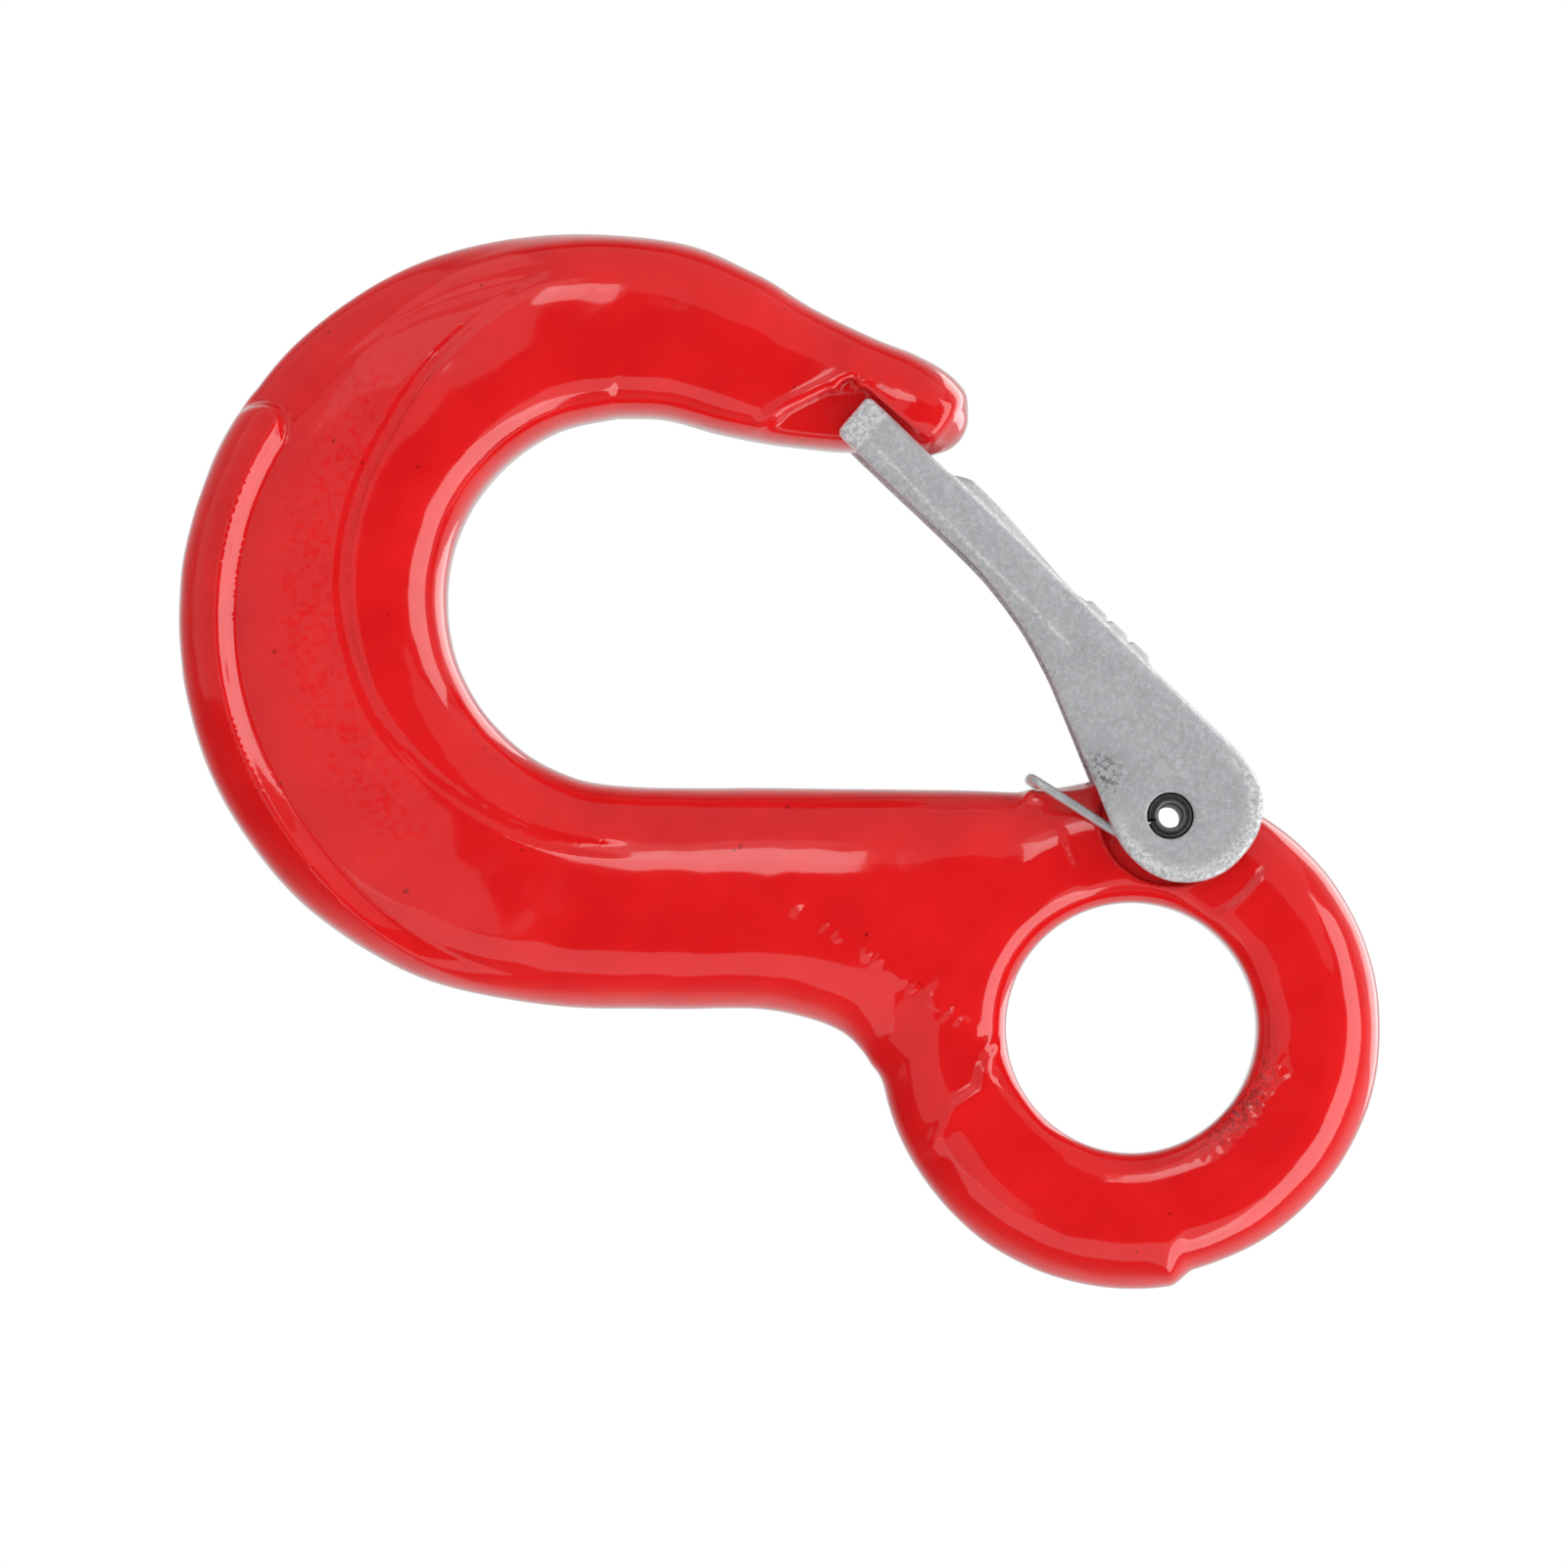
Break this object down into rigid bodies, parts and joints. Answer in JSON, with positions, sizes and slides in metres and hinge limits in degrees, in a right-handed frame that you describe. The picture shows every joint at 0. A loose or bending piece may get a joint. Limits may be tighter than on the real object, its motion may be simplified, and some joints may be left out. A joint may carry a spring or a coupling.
{
  "type": "eye sling hook with latch",
  "caption": "Forged eye sling hook with a spring-loaded sheet-steel safety latch that swings inward on a cross pin to open the throat.",
  "frame": {"origin": "centre of the eye, on the hook's middle plane", "axes": "+Z along the load line from the bowl to the eye, +Y along the eye's bore and the latch's pin, the throat opens towards -X"},
  "size_m": [0.0826, 0.0184, 0.1336],
  "materials": {
    "red_paint": "gloss powder coat",
    "zinc_plate": "satin zinc plate with bright edges",
    "black_steel": "black oxide, lightly oiled",
    "spring_wire": "bright drawn wire"
  },
  "bodies": {
    "hook": {"hook_body": "red_paint", "latch_pin": "black_steel", "latch_spring": "spring_wire"},
    "latch": {"latch": "zinc_plate"}
  },
  "joints": [
    {"name": "latch_hinge", "type": "hinge", "parent": "hook", "child": "latch", "pos_m": [-0.0185, 0, -0.0108], "axis": [0, -1, 0], "range_deg": [0, 47], "stiffness_Nm_per_rad": 0.15, "springref_deg": -60.16, "deforming": ["latch_spring"]}
  ]
}
